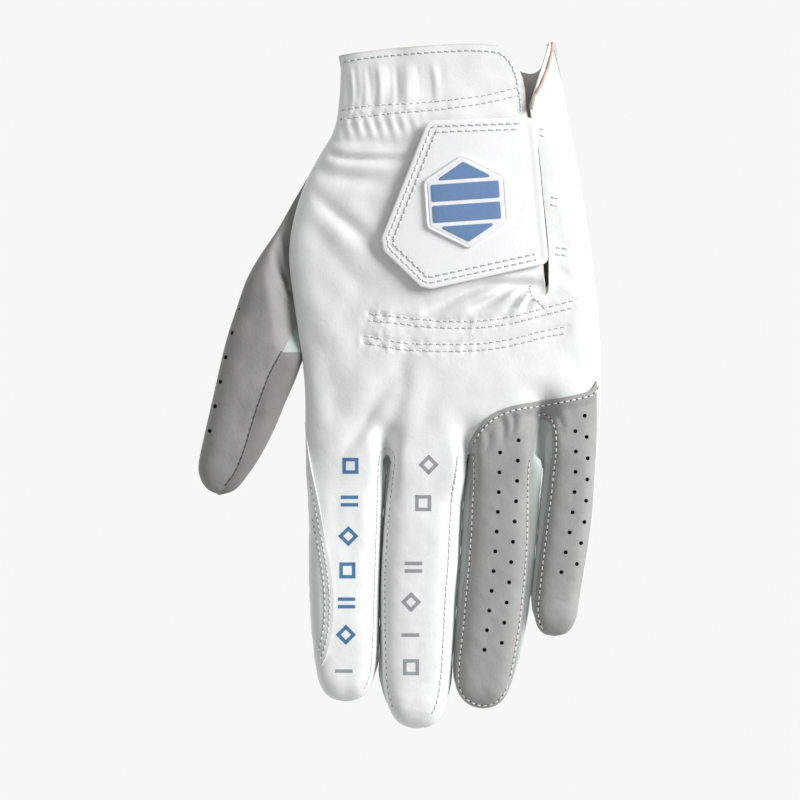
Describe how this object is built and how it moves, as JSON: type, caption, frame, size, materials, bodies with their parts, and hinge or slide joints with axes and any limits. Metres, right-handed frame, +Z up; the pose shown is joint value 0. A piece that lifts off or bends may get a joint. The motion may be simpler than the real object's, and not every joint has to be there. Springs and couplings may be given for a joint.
{
  "type": "golf glove",
  "caption": "Leather golf glove for the left hand, lying flat on its palm, with a perforated thumb and fingers, a slit cuff and a hook-and-loop closure tab.",
  "frame": {"origin": "the middle of the glove's footprint, on the flat surface that it lies on", "axes": "+Z up out of the back of the hand, +Y toward the open cuff with the fingers toward -Y, +X toward the little finger with the thumb toward -X"},
  "size_m": [0.1333, 0.227, 0.021],
  "materials": {
    "back_leather": "fine-grained matte, soft",
    "palm_leather": "fine-grained matte, soft",
    "fourchette_leather": "matte",
    "insert_leather": "matte with a faint grain",
    "thumb_leather": "matte, perforated",
    "perforated_leather": "matte, perforated",
    "hem_leather": "the leather's flesh side, napped",
    "elastic": "woven",
    "loop_fabric": "soft pile",
    "hook_tape": "fine hooks",
    "badge_white": "satin",
    "badge_blue": "satin"
  },
  "bodies": {
    "hand": {"palm_panel": "palm_leather", "back_panel": "back_leather", "finger_insert": "insert_leather", "knuckle_elastic": "elastic", "wrist_elastic": "elastic", "tab_elastic": "elastic", "slit_binding": "back_leather", "cuff_hem_palm": "hem_leather", "cuff_hem_radial": "hem_leather", "cuff_hem_ulnar": "hem_leather", "index_middle_gusset": "fourchette_leather", "middle_ring_gusset": "fourchette_leather", "ring_little_gusset": "fourchette_leather", "loop_patch": "loop_fabric"},
    "closure_tab": {"tab_leather": "back_leather", "hook_patch": "hook_tape", "badge_base": "badge_white", "badge_inlay": "badge_blue"},
    "thumb": {"thumb_front": "thumb_leather", "thumb_side": "thumb_leather", "thumb_palm": "palm_leather", "thumb_gusset": "palm_leather"},
    "index_finger": {"index_back": "back_leather", "index_palm": "palm_leather", "index_side": "palm_leather", "index_fourchette": "fourchette_leather"},
    "middle_finger": {"middle_back": "back_leather", "middle_palm": "palm_leather", "middle_fourchette_radial": "fourchette_leather", "middle_fourchette_ulnar": "fourchette_leather"},
    "ring_finger": {"ring_back": "perforated_leather", "ring_palm": "palm_leather", "ring_fourchette_radial": "fourchette_leather", "ring_fourchette_ulnar": "fourchette_leather"},
    "little_finger": {"little_back": "perforated_leather", "little_palm": "palm_leather", "little_side": "palm_leather", "little_fourchette": "fourchette_leather"}
  },
  "joints": [
    {"name": "tab_hinge", "type": "hinge", "parent": "hand", "child": "closure_tab", "pos_m": [0.0489, 0.0406, 0.0182], "axis": [-0.0939, 0.9956, 0], "range_deg": [0, 165]},
    {"name": "index_curl", "type": "hinge", "parent": "hand", "child": "index_finger", "pos_m": [-0.0176, -0.025, 0.0032], "axis": [1, -0.0043, 0], "range_deg": [0, 65]},
    {"name": "middle_curl", "type": "hinge", "parent": "hand", "child": "middle_finger", "pos_m": [0.0089, -0.026, 0.0032], "axis": [0.9993, -0.0367, 0], "range_deg": [0, 65]},
    {"name": "ring_curl", "type": "hinge", "parent": "hand", "child": "ring_finger", "pos_m": [0.0338, -0.021, 0.0032], "axis": [0.997, -0.0774, 0], "range_deg": [0, 65]},
    {"name": "little_curl", "type": "hinge", "parent": "hand", "child": "little_finger", "pos_m": [0.0582, -0.013, 0.0032], "axis": [0.9937, -0.1122, 0], "range_deg": [0, 65]},
    {"name": "thumb_swing", "type": "hinge", "parent": "hand", "child": "thumb", "pos_m": [-0.033, 0.068, 0.007], "axis": [0, 0, -1], "range_deg": [0, 15]}
  ]
}
